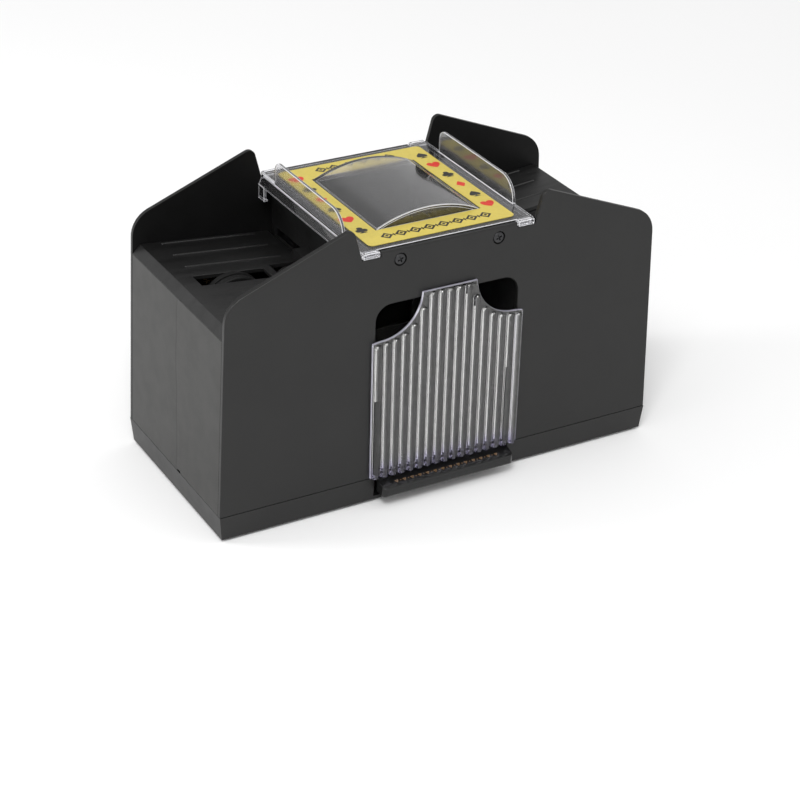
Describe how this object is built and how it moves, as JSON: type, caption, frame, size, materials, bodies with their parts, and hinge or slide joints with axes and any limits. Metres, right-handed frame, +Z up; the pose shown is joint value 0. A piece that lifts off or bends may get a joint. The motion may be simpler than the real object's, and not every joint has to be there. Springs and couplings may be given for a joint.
{
  "type": "automatic card shuffler",
  "caption": "Table-top card shuffler: two sloping card trays with driven rollers, a clear lid, a ribbed clear drawer and a press bar.",
  "frame": {"origin": "middle of the machine's footprint, press bar included, at the level of the rubber feet", "axes": "+X runs along the machine towards the right card tray, +Y towards the back panel, +Z up; the drawer and press bar face -Y"},
  "size_m": [0.2332, 0.112, 0.1438],
  "materials": {
    "black_abs": "satin moulded black plastic with a faint sheen",
    "tray_abs": "satin black plastic, rubbed along the card path",
    "frame_abs": "matt black plastic",
    "bar_abs": "glossy black plastic with gold printed arrows",
    "clear_styrene": "clear moulded plastic, polished",
    "yellow_print": "printed card, yellow with red and black card suits",
    "black_rubber": "soft black rubber",
    "grey_nylon": "grey nylon",
    "white_acetal": "natural white acetal",
    "ground_steel": "ground steel",
    "sintered_bronze": "oil-filled sintered bronze",
    "turned_brass": "turned brass",
    "motor_steel": "zinc-plated drawn steel",
    "blackened_screw": "blackened steel",
    "nickel_contact": "nickel-plated spring steel",
    "switch_plastic": "black phenolic",
    "red_pvc": "red insulated lead"
  },
  "bodies": {
    "housing": {"front_panel": "black_abs", "back_panel": "black_abs", "base_shell": "black_abs", "rubber_feet": "black_rubber", "bin_deck": "frame_abs", "top_rails": "frame_abs", "battery_box": "frame_abs", "battery_springs": "nickel_contact", "battery_plates": "nickel_contact", "battery_cover": "frame_abs", "panel_screws": "blackened_screw", "base_screws": "blackened_screw", "frame_screws": "blackened_screw", "bar_pin": "ground_steel", "bar_springs": "nickel_contact", "switch_body": "switch_plastic", "motor_leads": "red_pvc", "retard_pads": "black_rubber", "shaft_bushes": "sintered_bronze", "gear_pins": "ground_steel", "left_end_panel": "black_abs", "left_card_tray": "tray_abs", "left_bin_wall": "frame_abs", "left_drive_frame": "frame_abs", "left_motor_can": "motor_steel", "right_end_panel": "black_abs", "right_card_tray": "tray_abs", "right_bin_wall": "frame_abs", "right_drive_frame": "frame_abs", "right_motor_can": "motor_steel"},
    "left_feed_roller": {"left_feed_shaft": "ground_steel", "left_feed_hub": "grey_nylon", "left_feed_rubber": "black_rubber", "left_feed_gear": "white_acetal"},
    "left_exit_roller": {"left_exit_shaft": "ground_steel", "left_exit_hub": "grey_nylon", "left_exit_rubber": "black_rubber", "left_exit_gear": "white_acetal"},
    "left_idler": {"left_idler_gear": "white_acetal"},
    "left_reduction": {"left_reduction_gear": "white_acetal"},
    "left_rotor": {"left_motor_shaft": "ground_steel", "left_motor_pinion": "turned_brass"},
    "right_feed_roller": {"right_feed_shaft": "ground_steel", "right_feed_hub": "grey_nylon", "right_feed_rubber": "black_rubber", "right_feed_gear": "white_acetal"},
    "right_exit_roller": {"right_exit_shaft": "ground_steel", "right_exit_hub": "grey_nylon", "right_exit_rubber": "black_rubber", "right_exit_gear": "white_acetal"},
    "right_idler": {"right_idler_gear": "white_acetal"},
    "right_reduction": {"right_reduction_gear": "white_acetal"},
    "right_rotor": {"right_motor_shaft": "ground_steel", "right_motor_pinion": "turned_brass"},
    "lid": {"lid_cover": "clear_styrene", "lid_label": "yellow_print"},
    "drawer": {"drawer_front": "clear_styrene", "drawer_tray": "clear_styrene"},
    "bar": {"press_bar": "bar_abs"},
    "plunger": {"switch_plunger": "switch_plastic"}
  },
  "joints": [
    {"name": "left_feed_roller_spin", "type": "hinge", "parent": "housing", "child": "left_feed_roller", "pos_m": [-0.0825, 0, 0.08952], "axis": [0, 1, 0], "continuous": true},
    {"name": "left_exit_roller_spin", "type": "hinge", "parent": "housing", "child": "left_exit_roller", "pos_m": [-0.0525, 0, 0.09281], "axis": [0, 1, 0], "continuous": true},
    {"name": "left_idler_spin", "type": "hinge", "parent": "housing", "child": "left_idler", "pos_m": [-0.06325, 0, 0.08192], "axis": [0, 1, 0], "continuous": true},
    {"name": "left_reduction_spin", "type": "hinge", "parent": "housing", "child": "left_reduction", "pos_m": [-0.08531, 0, 0.07357], "axis": [0, 1, 0], "continuous": true},
    {"name": "left_rotor_spin", "type": "hinge", "parent": "housing", "child": "left_rotor", "pos_m": [-0.0993, 0, 0.06224], "axis": [0, 1, 0], "continuous": true},
    {"name": "right_feed_roller_spin", "type": "hinge", "parent": "housing", "child": "right_feed_roller", "pos_m": [0.0825, 0, 0.08952], "axis": [0, 1, 0], "continuous": true},
    {"name": "right_exit_roller_spin", "type": "hinge", "parent": "housing", "child": "right_exit_roller", "pos_m": [0.0525, 0, 0.09281], "axis": [0, 1, 0], "continuous": true},
    {"name": "right_idler_spin", "type": "hinge", "parent": "housing", "child": "right_idler", "pos_m": [0.06325, 0, 0.08192], "axis": [0, 1, 0], "continuous": true},
    {"name": "right_reduction_spin", "type": "hinge", "parent": "housing", "child": "right_reduction", "pos_m": [0.08531, 0, 0.07357], "axis": [0, 1, 0], "continuous": true},
    {"name": "right_rotor_spin", "type": "hinge", "parent": "housing", "child": "right_rotor", "pos_m": [0.0993, 0, 0.06224], "axis": [0, 1, 0], "continuous": true},
    {"name": "lid_lift", "type": "slide", "parent": "housing", "child": "lid", "axis": [0, 0, 1], "range_m": [0, 0.05]},
    {"name": "drawer_slide", "type": "slide", "parent": "housing", "child": "drawer", "axis": [0, -1, 0], "range_m": [0, 0.09]},
    {"name": "bar_press", "type": "hinge", "parent": "housing", "child": "bar", "pos_m": [0, -0.032, 0.0105], "axis": [1, 0, 0], "range_deg": [0, 7.5], "stiffness_Nm_per_rad": 0.3, "springref_deg": -5.73, "deforming": ["bar_springs"]},
    {"name": "plunger_travel", "type": "slide", "parent": "housing", "child": "plunger", "axis": [0, 0, -1], "range_m": [0, 0.0011]}
  ],
  "couplings": [
    {"joint": "left_exit_roller_spin", "follows": "left_feed_roller_spin", "ratio": 2},
    {"joint": "left_idler_spin", "follows": "left_feed_roller_spin", "ratio": -1.0909},
    {"joint": "left_reduction_spin", "follows": "left_feed_roller_spin", "ratio": -2},
    {"joint": "left_rotor_spin", "follows": "left_feed_roller_spin", "ratio": 8},
    {"joint": "right_exit_roller_spin", "follows": "right_feed_roller_spin", "ratio": 2},
    {"joint": "right_idler_spin", "follows": "right_feed_roller_spin", "ratio": -1.0909},
    {"joint": "right_reduction_spin", "follows": "right_feed_roller_spin", "ratio": -2},
    {"joint": "right_rotor_spin", "follows": "right_feed_roller_spin", "ratio": 8},
    {"joint": "plunger_travel", "follows": "bar_press", "m_per_rad": 0.008}
  ]
}
